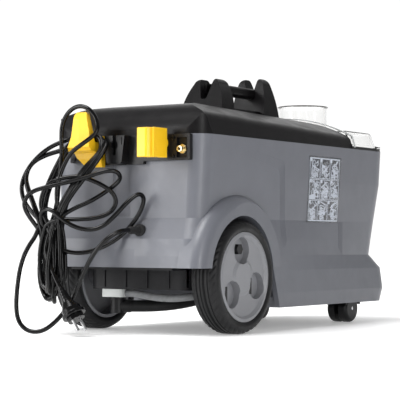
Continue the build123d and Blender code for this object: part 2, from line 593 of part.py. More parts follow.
def suction_socket():
    """Flanged socket for the suction hose in the front wall."""
    flange = rod((316, 0, SOCKET_Z), (341, 0, SOCKET_Z), 31) - tub_solid()
    body = flange + rod((325.5, 0, SOCKET_Z), (343, 0, SOCKET_Z), 24)
    return body - rod((310, 0, SOCKET_Z), (350, 0, SOCKET_Z), SOCKET_R)


def fresh_tank():
    """Clean-water tank under the dirty tank, with a filling neck at the front left."""
    low, high = DECK_Z + DECK, 206
    tank = box(-38, 282, -116, 116, low, high) + box(-38, 168, -116, 116, high - 1, 300)
    tank = fillet(tank.edges().filter_by(Axis.Z), 14)
    tank = tank - box(-35, 279, -113, 113, low + 3, high - 3) - box(-35, 165, -113, 113, low + 3, 297)
    neck = tube((NECK_X, 0, 299), (NECK_X, 0, 318), 30, 27)
    tank = tank + neck - rod((NECK_X, 0, 290), (NECK_X, 0, 320), 27)
    return tank - rod((-40, PUMP[1], OUTLET_Z), (-30, PUMP[1], OUTLET_Z), 4)


def tank_cap():
    """Screw cap on the clean-water tank's neck."""
    cap = tube((NECK_X, 0, 306), (NECK_X, 0, 322), 34, 30.2) + rod((NECK_X, 0, 318.2), (NECK_X, 0, 322), 34)
    ribs = [Pos(NECK_X, 0, 314) * Rot(0, 0, 30 * k) * Pos(34, 0, 0) * Box(3, 3, 14) for k in range(12)]
    for rib in ribs:
        cap = cap + rib
    return cap


def tank_filter():
    """Mesh filter on the clean-water outlet inside the tank."""
    y, z = PUMP[1], OUTLET_Z
    body = tube((-35, y, z), (10, y, z), 11, 9) + rod((8, y, z), (12, y, z), 11)
    for k in range(5):
        body = body - box(-24 + 6 * k, -21 + 6 * k, y - 15, y + 15, z - 4, z + 4)
    return body


def motor_deck():
    """Plate over the tray that carries the motor, the pump and the tank."""
    deck = box(-262, 284, -94, 94, DECK_Z, DECK_Z + DECK)
    deck = deck - rod((MOTOR_X, 0, DECK_Z - 1), (MOTOR_X, 0, DECK_Z + 10), 50)
    return deck


def motor_seal():
    return tube((MOTOR_X, 0, DECK_Z + DECK), (MOTOR_X, 0, DECK_Z + 9), 62, 51)


def pump():
    """Vibration pump: coil body, valve head and outlet spigot."""
    x, y = PUMP
    z = DECK_Z + DECK
    body = rod((x, y, z), (x, y, z + 14), 19) + rod((x, y, z + 14), (x, y, z + 60), 15)
    body = body + box(x - 17, x + 17, y - 17, y + 17, z + 24, z + 52)
    body = body + rod((x, y, z + 60), (x, y, z + 76), 9) + rod((x, y, z + 76), (x, y, z + 84), 4)
    return body + rod((x + 16, y, OUTLET_Z), (x + 26, y, OUTLET_Z), 4)


def terminal_box():
    """Junction box on the inside of the rear wall."""
    body = box(REAR_X + WALL, -262, 30, 86, 196, 256)
    body = fillet(body.edges().filter_by(Axis.X), 4)
    return body - box(-264, -261, 34, 82, 200, 252)


def cord_gland():
    """Tapered strain relief of the mains cord with its stem in the rear wall."""
    cone = loft([Plane(origin=(RELIEF_TIP_X, GLAND.Y, GLAND.Z), z_dir=(1, 0, 0)) * Circle(5.2),
                 Plane(origin=(REAR_X, GLAND.Y, GLAND.Z), z_dir=(1, 0, 0)) * Circle(11)])
    cone = cone - tub_solid()
    for k in range(3):
        x = RELIEF_TIP_X + 6 + 5 * k
        cone = cone - tube((x, GLAND.Y, GLAND.Z), (x + 2, GLAND.Y, GLAND.Z), 15, 4.8 + 0.8 * k)
    stem = rod((-320, GLAND.Y, GLAND.Z), (-286, GLAND.Y, GLAND.Z), 9)
    stem = stem & (cone + tub_solid(0) + box(-300, -280, -100, 100, 100, 200))
    return cone + stem


def drain_fitting():
    """Light-coloured drain manifold under the tray."""
    block = box(-264, -228, 34, 74, 56, TRAY_Z)
    block = fillet(block.edges().filter_by(Axis.Z), 4)
    return block + rod((-246, 54, TRAY_Z), (-246, 54, TRAY_Z + 10), 8)


def drain_elbow():
    body = rod((-246, 54, 30), (-246, 54, 56), 11) + rod((-246, 54, 52), (-246, 54, 56), 14)
    return body + rod((-246, 54, 41), (-234, 36, 41), 10.5)


def hose_ports():
    """Ports under the tray that the two low hoses run into."""
    drain = fillet(box(-104, -82, -60, -34, 43, TRAY_Z).edges().filter_by(Axis.Y), 4)
    fill = fillet(box(-190, -174, -97, -81, 53, TRAY_Z).edges().filter_by(Axis.Y), 3)
    return [drain, fill]


def rear_axle():
    reach = WHEEL_FACE_Y - 15
    return rod((WHEEL_X, -reach, WHEEL_R), (WHEEL_X, reach, WHEEL_R), AXLE_R)


def axle_nuts():
    """Push-on nuts that hold the wheels on the axle."""
    return [tube((WHEEL_X, side * 139.5, WHEEL_R), (WHEEL_X, side * 143, WHEEL_R), 12.5, AXLE_R)
            for side in (-1, 1)]


def vacuum_motor():
    """Suction turbine standing on the deck: fan housing below, motor above."""
    face = make_face(Polyline((0, 0), (66, 0), (66, 44), (60, 50), (44, 52), (44, 112), (38, 120), (0, 120),
                              close=True))
    face = Plane.XZ * face
    solid = Pos(MOTOR_X, 0, DECK_Z + 9) * revolve(face, Axis.Z, 360)
    outlet = rod((MOTOR_X, 30, DECK_Z + 30), (MOTOR_X, 84, DECK_Z + 30), 15)
    return solid + outlet - rod((MOTOR_X, 60, DECK_Z + 30), (MOTOR_X, 90, DECK_Z + 30), 12)


def cord_path(points):
    """Straight runs joined by arcs as large as the runs allow."""
    pts = [Vector(p) for p in points]
    radii = []
    for a, b, c in zip(pts, pts[1:], pts[2:]):
        turn = math.radians((b - a).get_angle(c - b))
        shorter = min((b - a).length, (c - b).length)
        radii.append(0.45 * shorter / math.tan(turn / 2))
    return FilletPolyline(*pts, radius=radii), radii


def cord_tube(name, points, diameter=CORD_D):
    """Round tube along a route; prints its length and bends so that they can be judged."""
    path, radii = cord_path(points)
    section = Plane(origin=path @ 0, z_dir=path % 0) * Circle(diameter / 2)
    solid = sweep(section, path=path)
    expected = math.pi * diameter ** 2 / 4 * path.length
    print(name, "length", round(path.length), "volume ratio", round(solid.volume / expected, 4),
          "radii", [round(r) for r in radii])
    return solid


def cord_hank():
    """Outer form of the loosely wound cord, hanging on the left hook."""
    outline_yz = [(46, 372), (78, 372), (98, 350), (104, 318), (150, 290), (166, 262), (164, 226),
                  (134, 188), (130, 100), (118, 50), (96, 38), (62, 52), (57, 90), (50, 120), (-4, 150),
                  (-38, 205), (-32, 228), (-10, 254), (10, 290), (16, 350)]
    hank = prism_x(outline_yz, -408, -326)
    hank = fillet(hank.edges().filter_by(Axis.X), 5)
    hook_space = box(PLATE_X - HOOK_REACH - 1, REAR_X, HOOK_Y - 23, HOOK_Y + 25, 262, 352)
    return hank - hook_space - box(-345, -300, -60, 200, 262, 400)


def plug():
    """Two-pin earthed plug: ribbed relief, body, flange and pins."""
    def plane(d):
        return Plane(origin=PLUG_NECK + PLUG_AXIS * d, z_dir=PLUG_AXIS, x_dir=(1, 0, 0))
    relief = loft([plane(0) * Circle(4.6), plane(26) * Circle(8.5)])
    for d in (4, 9, 14, 19):
        ring = plane(d) * (Cylinder(12, 2.2) - Cylinder(4.3 + d * 0.15, 2.2))
        relief = relief - ring
    body = loft([plane(26) * Circle(9), plane(38) * Circle(15.5)]) + plane(42) * Cylinder(15.5, 8)
    flange = plane(48) * Cylinder(18.7, 6)
    nose = plane(54) * Cylinder(13.5, 8)
    body = body + fillet(flange.edges().filter_by(GeomType.CIRCLE), 1.5) + nose
    pins = [plane(67.5) * Pos(side * 9.5, 0, 0) * Cylinder(2.4, 19) for side in (-1, 1)]
    for pin in pins:
        body = body - pin
    return relief, body, pins


def screws(places, direction, length, head_r=3.6):
    """Pan-head screws: places are the points where the heads meet the part."""
    out = []
    d = Vector(*direction)
    for p in places:
        head = rod(p, tuple(Vector(*p) - d * 2.2), head_r)
        shank = rod(p, tuple(Vector(*p) + d * length), 1.6)
        recess = rod(tuple(Vector(*p) - d * 3), tuple(Vector(*p) - d * 1.0), 1.2)
        out.append(head + shank - recess)
    return out


def label_film():
    """Thin transparent film on the right side wall."""
    sheet = prism_y([(25, 179), (138, 179), (142, 293), (29, 293)], -170, -100)
    return (tub_solid(-0.35) - tub_solid(0)) & sheet


def rocker_pins():
    return [rod((ROCKER_X, y - 20, ROCKER_Z), (ROCKER_X, y + 20, ROCKER_Z), 2)
            for y in (-ROCKER_Y, ROCKER_Y)]


def main():
    save("body_shell", body_shell())
    save("top_cover", top_cover())
    save("carry_handle", carry_handle())
    save("hook_plate", hook_plate())
    save("nozzle_bracket", nozzle_bracket())
    save("hose_coupling", hose_coupling())
    save("cable_hook_left", tall_hook())
    save("cable_hook_right", turning_hook())
    save("base_tray", base_tray())
    for name, solid in (("tyre", tyre()), ("rim", rim())):
        save(f"wheel_right_{name}", solid)
        save(f"wheel_left_{name}", mirror_y(solid))
    for side, y in (("right", -CASTER_Y), ("left", CASTER_Y)):
        hood, wheels, pin = caster(y)
        save(f"caster_{side}_hood", hood)
        save(f"caster_{side}_wheels", *wheels)
        save(f"caster_{side}_pin", pin)
    save("dirty_tank", dirty_tank())
    save("clear_lid", clear_lid())
    save("lid_gasket", lid_gasket())
    save("float_cage", float_cage())
    save("float_ball", float_ball())
    save("suction_socket", suction_socket())
    save("fresh_tank", fresh_tank())
    save("tank_cap", tank_cap())
    save("tank_filter", tank_filter())
    save("motor_deck", motor_deck())
    save("motor_seal", motor_seal())
    save("pump", pump())
    save("pump_inlet_hose", tube((-66, PUMP[1], OUTLET_Z), (-38, PUMP[1], OUTLET_Z), 6, 4))
    save("pressure_hose", cord_tube("pressure_hose", PRESSURE_ROUTE, 8))
    save("terminal_box", terminal_box())
    save("rear_axle", rear_axle())
    save("axle_nuts", *axle_nuts())
    save("drain_fitting", drain_fitting())
    save("drain_elbow", drain_elbow())
    save("drain_hose", cord_tube("drain_hose", DRAIN_ROUTE, HOSE_D))
    save("fill_hose", cord_tube("fill_hose", FILL_ROUTE, FILL_D))
    save("hose_ports", *hose_ports())
    save("wheel_right_plug", *wheel_plugs())
    save("wheel_left_plug", *[mirror_y(solid) for solid in wheel_plugs()])
    save("rocker_pins", *rocker_pins())
    save("plate_screws", *screws(PLATE_SCREWS, (1, 0, 0), 8))
    save("tray_screws", *screws(TRAY_SCREWS, (0, 0, 1), 4))
    save("cord_gland", cord_gland())
    save("vacuum_motor", vacuum_motor())
    for side, y in (("right", -ROCKER_Y), ("left", ROCKER_Y)):
        save(f"rocker_{side}", rocker(y))
    save("cord_lead", cord_tube("cord_lead", CORD_LEAD))
    save("cord_tail", cord_tube("cord_tail", CORD_TAIL))
    save("cord_hank", cord_hank())
    relief, body, pins = plug()
    save("plug_relief", relief)
    save("plug_body", body)
    save("plug_pins", *pins)
    save("label_film", label_film())


main()
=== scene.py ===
"""Looks of the spray-extraction carpet cleaner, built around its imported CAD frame.

X runs from the cable hooks to the clear lid, Y to the machine's left, Z up.  Sizes are in metres.
"""
import json
import math
import random

import bpy
from mathutils import Matrix, Vector


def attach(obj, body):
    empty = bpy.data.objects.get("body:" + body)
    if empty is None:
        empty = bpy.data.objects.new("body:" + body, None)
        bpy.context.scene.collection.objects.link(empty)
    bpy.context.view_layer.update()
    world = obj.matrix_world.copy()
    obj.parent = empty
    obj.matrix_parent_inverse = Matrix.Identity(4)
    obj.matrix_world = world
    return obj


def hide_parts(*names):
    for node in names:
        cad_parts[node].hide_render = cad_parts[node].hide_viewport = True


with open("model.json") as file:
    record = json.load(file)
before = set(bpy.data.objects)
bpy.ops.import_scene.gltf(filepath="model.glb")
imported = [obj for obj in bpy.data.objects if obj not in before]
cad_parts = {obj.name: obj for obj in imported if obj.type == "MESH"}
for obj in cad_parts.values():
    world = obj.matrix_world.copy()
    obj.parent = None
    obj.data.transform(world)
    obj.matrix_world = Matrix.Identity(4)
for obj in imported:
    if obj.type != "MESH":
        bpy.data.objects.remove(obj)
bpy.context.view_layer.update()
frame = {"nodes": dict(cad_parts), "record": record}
NODES = frame["nodes"]
scene = bpy.context.scene

# mains cord
CORD_D = 0.007
CORD_LEAD = [
    (-.341, -.036, .163), (-.354, -.036, .163), (-.366, -.0315, .159), (-.3755, -.023, .151),
    (-.380, -.010, .139), (-.381, .005, .121), (-.380, .019, .100), (-.379, .032, .076),
    (-.382, .043, .053), (-.389, .053, .034), (-.398, .063, .0195), (-.405, .074, .0095),
    (-.411, .0865, .005), (-.416, .0995, .0065), (-.419, .1105, .0135), (-.420, .118, .025),
    (-.419, .122, .040), (-.415, .125, .060), (-.408, .128, .084), (-.400, .129, .110),
    (-.391, .124, .135), (-.381, .111, .158)]
PLUG_NECK = Vector((-.404, .047, .074))
PLUG_AXIS = Vector((0, -.56, -.83)).normalized()
CORD_TAIL = [(-.396, .086, .136), (-.401, .073, .114), PLUG_NECK - PLUG_AXIS * .022, PLUG_NECK]

# upper half of each kind of lap, from the pinched waist of the hank and back to it
OVER_HOOK = [
    (-.374, .108, .190), (-.362, .110, .225), (-.348, .101, .262), (-.336, .086, .300),
    (-.327, .057, .309), (-.329, .030, .312), (-.333, .017, .298), (-.343, .022, .279),
    (-.357, .040, .254), (-.369, .060, .220), (-.378, .074, .190)]
WIDE_FAN = [
    (-.376, .112, .176), (-.375, .134, .194), (-.374, .151, .213), (-.371, .157, .239),
    (-.364, .146, .268), (-.352, .122, .291), (-.339, .092, .305), (-.331, .057, .313),
    (-.332, .028, .307), (-.340, .019, .288), (-.354, .034, .262), (-.368, .056, .226),
    (-.378, .072, .192)]
NARROW_FAN = [
    (-.379, .106, .176), (-.377, .124, .207), (-.374, .138, .231), (-.370, .144, .250),
    (-.362, .139, .269), (-.350, .120, .282), (-.339, .092, .290), (-.323, .066, .307),
    (-.322, .034, .306), (-.330, .012, .300), (-.342, .014, .282), (-.358, .030, .252),
    (-.372, .058, .210)]
RIGHT_LOOP = [
    (-.388, .086, .176), (-.384, .062, .182), (-.374, .036, .183), (-.358, .012, .184),
    (-.342, -.004, .192), (-.334, -.010, .208), (-.337, -.006, .224), (-.347, .010, .238),
    (-.360, .036, .248), (-.373, .062, .249), (-.384, .084, .240), (-.389, .097, .222),
    (-.389, .096, .196)]
FLAT_LOOP = [
    (-.390, .116, .184), (-.394, .122, .203), (-.391, .110, .219), (-.380, .082, .227),
    (-.371, .052, .234), (-.363, .022, .243), (-.353, -.006, .252), (-.340, -.020, .252),
    (-.326, -.018, .238), (-.328, .004, .221), (-.345, .030, .205), (-.363, .050, .192),
    (-.378, .068, .176)]
LONG_LOOP = [
    (-.387, .104, .178), (-.393, .098, .197), (-.394, .078, .196), (-.388, .054, .177),
    (-.374, .030, .163), (-.358, .006, .168), (-.347, -.012, .186), (-.338, -.027, .207),
    (-.325, -.039, .222), (-.311, -.041, .215), (-.307, -.033, .196), (-.311, -.018, .174),
    (-.322, -.002, .154), (-.340, .014, .138), (-.360, .034, .128), (-.378, .058, .130),
    (-.390, .082, .143)]
LASSO = [
    (-.366, .086, .196), (-.360, .088, .235), (-.356, .087, .272), (-.352, .088, .305),
    (-.350, .090, .327), (-.349, .081, .346), (-.348, .062, .356), (-.347, .043, .353),
    (-.346, .030, .342), (-.346, .022, .327), (-.350, .020, .313), (-.358, .027, .303),
    (-.363, .043, .293), (-.366, .061, .280), (-.372, .076, .254), (-.380, .080, .215)]
# lower half of a lap, hanging below the waist
HANGING = [
    (-.384, .072, .158), (-.388, .066, .130), (-.391, .062, .102), (-.391, .064, .080),
    (-.390, .072, .062), (-.388, .084, .054), (-.386, .096, .062), (-.385, .103, .080),
    (-.385, .105, .104), (-.385, .103, .130), (-.383, .100, .156)]
WAIST_Y = .084
WAIST_Z = .165
HANGING_DEPTH = .006        # how much closer to the body the lower halves hang than HANGING says
# the laps in the order they were wound: upper half, how far its lower half is shifted back, how
# wide and how long that half is; a lap of no length has no lower half
LAPS = [(OVER_HOOK, .004, 1.0, 1.00), (NARROW_FAN, .002, .85, .92), (LONG_LOOP, .0, .0, .0),
        (OVER_HOOK, -.004, .70, 1.04), (WIDE_FAN, .008, 1.15, .88), (RIGHT_LOOP, -.002, .95, 1.02),
        (OVER_HOOK, .004, .60, .94), (NARROW_FAN, -.006, 1.25, .98), (FLAT_LOOP, .002, .75, .90),
        (LASSO, -.008, 1.0, .93), (OVER_HOOK, .0, .0, .0)]
# how far chance moves a whole lap, and each point of its upper and of its lower half
LAP_STRAY = (.003, .005, .004)
UPPER_STRAY = (.0014, .0014, .0014)
LOWER_STRAY = (.0018, .0018, .0018)
# a lap lies on the hook in front of this X and above this Z, and keeps less of its own shift there
HOOK_REAR_X = -.345
HOOK_TROUGH_Z = .285
HOOK_STRAY = .25

# turning hook, with a plan of distance out from the plate and Y
PLATE_X = -.308
HOOK_PLAN = [
    (.007, -.0900), (.0430, -.0900), (.0436, -.0888), (.0380, -.0872), (.0362, -.0852),
    (.0374, -.0824), (.0412, -.0796), (.0436, -.0774), (.0445, -.0745), (.0445, -.0600),
    (.0430, -.0586), (.0390, -.0586), (.0330, -.0660), (.0270, -.0740), (.0200, -.0785),
    (.0070, -.0790)]
HOOK_ARM = .03              # how far out the part begins that is drawn in at its ends
HOOK_MIDDLE_Y = -.08
HOOK_LEVELS = [(.2748, .0006), (.2756, .0), (.3194, .0), (.3202, .0006)]    # Z, drawn in by
PIVOT_Y = -.076
PIVOT_Z = .2975
PIVOT_PROFILE = [(-.300, .0079), (-.3084, .0079), (-.3084, .0116), (-.3150, .0112), (-.3160, .0095)]

# strain relief where the cord leaves the body
GLAND_Y = -.036
GLAND_Z = .163
GLAND_COLLAR = [(-.300, .0078), (-.3085, .0078), (-.3085, .0098), (-.3125, .0100),
                (-.3145, .0088), (-.3155, .0062)]
GLAND_RIBS = 7
GLAND_RIB_X = -.317
GLAND_RIB_PITCH = .0032
GLAND_RIB = [(0, .0058), (-.0012, .0058), (-.0016, .0046), (-.0028, .0046)]
GLAND_END = [(-.3405, .0044), (-.3409, .0038)]

# edges of the clear lid, as beads whose half-clear tints paint the light the edges show: a painted
# highlight along the arch against the cover and a painted dark line round the dome's top
ARCH_X = .1888
ARCH_FOOT = [(-.1492, .3150), (-.1462, .3250)]
ARCH_HALF = .1430
ARCH_Z = .3358
ARCH_RISE = .0352
ARCH_STEPS = 40
ARCH_BEAD = (.0026, .0010)  # half of the bead along X and across it
DOME_EDGE = Vector((.262, 0, .3974))
DOME_EDGE_R = .0466
DOME_BEAD_R = .0010

# tyres, with half of a tyre's section: radius and how far inside the outer face
WHEEL_X = -.1955
WHEEL_R = .090
TYRE_WIDTH = .050
TYRE_OUTER_Y = .160
TYRE_SECTION = [
    (.0715, .0030), (.0745, .0012), (.0780, .0006), (.0820, .0010), (.0850, .0026),
    (.0872, .0050), (.0886, .0080), (.0897, .0105), (.0899, .0130), (.0884, .0138),
    (.0884, .0156), (.0899, .0164), (.0900, .0195), (.0885, .0203), (.0885, .0221),
    (.0900, .0229), (.0900, .0250)]
TREAD_BLOCKS = 44
BLOCK_STEPS = 6
CUT_STEPS = (0, 5)          # steps of a block that the cut to the next block takes
CUT_DEPTH = .0013
CUT_FROM, CUT_TO = .0045, .0125     # the shoulder that is cut, inside either face
TREAD_LEAN = 1.44           # how far round the cuts lean for each unit across the tread
LEAN_MIDDLE = .008

# print on the label: its corners in X and Z, and the columns of each row of drawings
LABEL_LOW = (.030, .182)
LABEL_HIGH = (.136, .290)
LABEL_GRID = [[.0, .34, .67, 1.0], [.0, .36, .70, 1.0], [.0, .30, .64, 1.0]]
LABEL_MARGIN = .010
PRINT_LIFT = .00012

# camera, light and floor
CAMERA_PLACE = Vector((-2.2971, -1.4629, 0.1466))
CAMERA_YAW = 56.5
CAMERA_PITCH = 1.5
CAMERA_ROLL = 0.2
CAMERA_LENS = 141.15
BACKDROP_LIGHT = 1.05
ROOM_LIGHT = 0.27
BACKDROP_EDGE = 0.55        # cosines of the angles at which the backdrop begins and is full
BACKDROP_FULL = 0.93
SUN_DIRECTION = Vector((.40, -.17, -.90))
SUN_STRENGTH = 3.0
SUN_SOFTNESS = 34
FLOOR_REACH = 9.0
FLOOR_GLOW = 0.26


# ---------------------------------------------------------------- materials

def new_material(name):
    mat = bpy.data.materials.new(name)
    mat.use_nodes = True
    tree = mat.node_tree
    return mat, tree, tree.nodes["Principled BSDF"]


def node(tree, kind, **inputs):
    made = tree.nodes.new(kind)
    for key, value in inputs.items():
        made.inputs[key.replace("_", " ")].default_value = value
    return made


def noise(tree, scale, detail=4.0, roughness=0.55, stretch=(1, 1, 1)):
    """Noise over the object's own coordinates, in cycles per metre."""
    coords = tree.nodes.new("ShaderNodeTexCoord")
    mapping = node(tree, "ShaderNodeMapping", Scale=stretch)
    tree.links.new(coords.outputs["Object"], mapping.inputs["Vector"])
    made = node(tree, "ShaderNodeTexNoise", Scale=scale, Detail=detail, Roughness=roughness)
    tree.links.new(mapping.outputs["Vector"], made.inputs["Vector"])
    return made.outputs["Fac"]


def ramp(tree, source, stops):
    """Colours by the value of source; each stop is a place from 0 to 1 and a colour."""
    made = tree.nodes.new("ShaderNodeValToRGB")
    elements = made.color_ramp.elements
    while len(elements) < len(stops):
        elements.new(0.5)
    for element, (place, colour) in zip(elements, stops):
        element.position = place
        element.color = (*colour, 1)
    tree.links.new(source, made.inputs["Fac"])
    return made.outputs["Color"]


def grade(tree, source, low, high):
    """The middle of a noise's range, spread from low to high."""
    made = node(tree, "ShaderNodeMapRange", From_Min=0.3, From_Max=0.7, To_Min=low, To_Max=high)
    tree.links.new(source, made.inputs["Value"])
    return made.outputs["Result"]


def bump(tree, shader, source, depth, strength=1.0, before=None):
    made = node(tree, "ShaderNodeBump", Strength=strength, Distance=depth)
    tree.links.new(source, made.inputs["Height"])
    if before is not None:
        tree.links.new(before, made.inputs["Normal"])
    tree.links.new(made.outputs["Normal"], shader.inputs["Normal"])
    return made.outputs["Normal"]


def shade(colour, factor):
    return tuple(min(1.0, c * factor) for c in colour)


def dusty(tree, base, colour, amount):
    """The base colour with pale specks of dust on it."""
    specks = ramp(tree, noise(tree, 900, 2, 0.7), [(0.66, (0, 0, 0)), (0.74, (1, 1, 1))])
    scaled = tree.nodes.new("ShaderNodeMath")
    scaled.operation = "MULTIPLY"
    scaled.inputs[1].default_value = amount
    tree.links.new(specks, scaled.inputs[0])
    mix = node(tree, "ShaderNodeMixRGB", Color2=(*shade(colour, 2.2), 1))
    tree.links.new(scaled.outputs[0], mix.inputs["Fac"])
    tree.links.new(base, mix.inputs["Color1"])
    return mix.outputs["Color"]


def plastic(name, colour, rough, grain, depth, vary, dust=0.0, specular=0.5):
    """Moulded plastic: spark-eroded grain, faint flow marks, uneven gloss and a little dust."""
    mat, tree, shader = new_material(name)
    base = ramp(tree, noise(tree, 14, 5, 0.6),
                [(0.3, shade(colour, 1 - vary)), (0.7, shade(colour, 1 + vary))])
    if dust:
        base = dusty(tree, base, colour, dust)
    tree.links.new(base, shader.inputs["Base Color"])
    gloss = grade(tree, noise(tree, 34, 6, 0.65), rough - 0.06, rough + 0.08)
    tree.links.new(gloss, shader.inputs["Roughness"])
    shader.inputs["Specular IOR Level"].default_value = specular
    flow = bump(tree, shader, noise(tree, 22, 3, 0.5), 0.0004, 0.25)
    bump(tree, shader, noise(tree, grain, 2, 0.5), depth, 1.0, flow)
    return mat


def rubber(name, colour, rough, bloom, specular=0.25):
    """Rubber with a dusty bloom and fine pores."""
    mat, tree, shader = new_material(name)
    base = ramp(tree, noise(tree, 26, 6, 0.7),
                [(0.35, colour), (0.62, shade(colour, 1.5)), (0.8, shade(colour, 1 + 6 * bloom))])
    tree.links.new(base, shader.inputs["Base Color"])
    gloss = grade(tree, noise(tree, 60), rough - 0.1, rough + 0.12)
    tree.links.new(gloss, shader.inputs["Roughness"])
    shader.inputs["Specular IOR Level"].default_value = specular
    pores = bump(tree, shader, noise(tree, 1500, 3, 0.6), 0.00008)
    bump(tree, shader, noise(tree, 110, 4, 0.6), 0.0002, 0.4, pores)
    return mat


def metal(name, colour, rough, stretch=(1, 1, 18)):
    """Turned or rolled metal with fine drawn lines and dull spots."""
    mat, tree, shader = new_material(name)
    lines = noise(tree, 180, 4, 0.6, stretch)
    base = ramp(tree, lines, [(0.3, shade(colour, 0.75)), (0.7, shade(colour, 1.15))])
    tree.links.new(base, shader.inputs["Base Color"])
    shader.inputs["Metallic"].default_value = 1.0
    gloss = grade(tree, noise(tree, 90, 5), rough - 0.08, rough + 0.14)
    tree.links.new(gloss, shader.inputs["Roughness"])
    bump(tree, shader, lines, 0.00004)
    return mat


def clear(name, tint, rough, wavy=0.0001, through=1.0, ior=1.49):
    """Clear moulded plastic with slight waviness and hairline scratches."""
    mat, tree, shader = new_material(name)
    base = ramp(tree, noise(tree, 9, 3), [(0.3, shade(tint, 0.97)), (0.7, tint)])
    tree.links.new(base, shader.inputs["Base Color"])
    shader.inputs["Transmission Weight"].default_value = through
    shader.inputs["IOR"].default_value = ior
    scratches = noise(tree, 120, 6, 0.7, stretch=(1, 8, 1))
    tree.links.new(grade(tree, scratches, rough * 0.4, rough * 1.8), shader.inputs["Roughness"])
    bump(tree, shader, noise(tree, 30, 3), wavy, 0.4)
    return mat


MATERIALS = {
    "body_grey": plastic("tub grey plastic", (.122, .127, .146),
                         rough=0.36, grain=2400, depth=.00007, vary=0.05, dust=0.05),
    "cover_black": plastic("cover black plastic", (.0052, .0047, .0052),
                           rough=0.33, grain=2600, depth=.00008, vary=0.12, dust=0.05,
                           specular=0.15),
    "hook_yellow": plastic("hook yellow plastic", (.90, .53, .012),
                           rough=0.33, grain=1800, depth=.00004, vary=0.04),
    "rim_grey": plastic("rim light grey plastic", (.200, .203, .217),
                        rough=0.38, grain=2200, depth=.00006, vary=0.05, dust=0.04),
    "black_plastic": plastic("black plastic", (.0058, .0058, .0065),
                             rough=0.36, grain=2300, depth=.00008, vary=0.15, dust=0.08,
                             specular=0.28),
    "tray_grey": plastic("tray dark plastic", (.012, .012, .0135),
                         rough=0.45, grain=2000, depth=.0001, vary=0.12, dust=0.06,
                         specular=0.2),
    "tank_plastic": plastic("natural tank plastic", (.62, .64, .62),
                            rough=0.42, grain=1500, depth=.00006, vary=0.03),
    "white_plastic": plastic("off-white plastic", (.50, .52, .51),
                             rough=0.4, grain=1700, depth=.00006, vary=0.05),
    "float_orange": plastic("float plastic", (.70, .20, .05),
                            rough=0.3, grain=1600, depth=.00003, vary=0.05),
    "ink": plastic("label ink", (.50, .54, .61), rough=0.35, grain=1500, depth=.00002, vary=0.03),
    "tyre": rubber("tyre rubber", (.0060, .0060, .0066), rough=0.45, bloom=0.2),
    "rubber": rubber("soft black rubber", (.009, .009, .0095), rough=0.5, bloom=0.12),
    "cord_black": rubber("cord sheath", (.0013, .0013, .0015), rough=0.15, bloom=0.05,
                         specular=0.28),
    "hose_grey": rubber("grey hose", (.16, .165, .17), rough=0.34, bloom=0.05),
    "brass": metal("plated brass", (.80, .68, .42), rough=0.22),
    "black_steel": metal("black oxide steel", (.030, .030, .031), rough=0.4),
    "steel": metal("zinc-plated steel", (.62, .62, .63), rough=0.26),
    "motor_metal": metal("cast aluminium", (.58, .58, .60), rough=0.42, stretch=(1, 1, 1)),
    "clear_plastic": clear("clear lid plastic", (.985, .985, .98), rough=0.04, ior=1.22),
    # the lid edge's whitish, partly opaque tint is a painted highlight
    "clear_edge": clear("lid edge painted highlight", (.80, .82, .82), rough=0.18, wavy=.0002, through=0.6),
    # the dome rim's dark brown, half-clear tint is painted shade: the dark line the clear rim shows
    "dome_edge": clear("dome rim painted shade", (.10, .085, .075), rough=0.15, through=0.5),
    "film": clear("label film", (.93, .94, .95), rough=0.16, wavy=.0002),
}


def dress_cad_nodes():
    """Every CAD node gets the material of its slot."""
    for part in frame["record"]["subparts"]:
        obj = NODES[part["node"]]
        obj.data.materials.clear()
        obj.data.materials.append(MATERIALS[part["material_slot"]])


# ---------------------------------------------------------------- geometry helpers

def turns(count):
    """Angles of a full turn in equal steps."""
    return [2 * math.pi * k / count for k in range(count)]


def mesh_object(name, verts, faces, body, slot, smooth=True):
    """A piece that rides on a body and has the material of its slot."""
    mesh = bpy.data.meshes.new(name)
    mesh.from_pydata(verts, [], faces)
    mesh.validate()
    mesh.update()
    obj = bpy.data.objects.new(name, mesh)
    scene.collection.objects.link(obj)
    if smooth:
        mesh.shade_smooth()
    mesh.materials.append(MATERIALS[slot])
    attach(obj, body)
    return obj


def bevel(obj, width, segments=2, angle=35):
    mod = obj.modifiers.new("edge", "BEVEL")
    mod.width = width
    mod.segments = segments
    mod.limit_method = "ANGLE"
    mod.angle_limit = math.radians(angle)
    mod.harden_normals = False


def ring_mesh(sections, joined=False):
    """Vertices and faces of a skin over equal rings of points, capped or joined end to end."""
    count = len(sections[0])
    verts = [tuple(point) for ring in sections for point in ring]
    faces = []
    for k in range(len(sections) - (0 if joined else 1)):
        here, ahead = k * count, (k + 1) % len(sections) * count
        for j in range(count):
            beside = (j + 1) % count
            faces.append((here + j, ahead + j, ahead + beside, here + beside))
    if not joined:
        faces.append(tuple(range(count)))
        faces.append(tuple(reversed(range(len(verts) - count, len(verts)))))
    return verts, faces


def turned(profile, y, z, count):
    """Skin of a piece turned about a line along X; the profile lists X and radius."""
    return ring_mesh([[(x, y + r * math.cos(t), z + r * math.sin(t)) for t in turns(count)]
                      for x, r in profile])


# ---------------------------------------------------------------- moulded details

def turning_hook():
    """The turning hook with its hollowed outer face and softened edges, on its round pivot."""
    rings = []
    for z, inset in HOOK_LEVELS:
        rings.append([(PLATE_X - out + (inset if out > HOOK_ARM else 0),
                       y + (inset if y < HOOK_MIDDLE_Y else -inset), z) for out, y in HOOK_PLAN])
    hook = mesh_object("turning_hook_shell", *ring_mesh(rings), "turning_hook", "hook_yellow",
                       smooth=False)
    bevel(hook, .0011, 3, 25)
    pivot = mesh_object("turning_hook_pivot", *turned(PIVOT_PROFILE, PIVOT_Y, PIVOT_Z, 28),
                        "turning_hook", "hook_yellow", smooth=False)
    bevel(pivot, .0004)
    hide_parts("cable_hook_right")


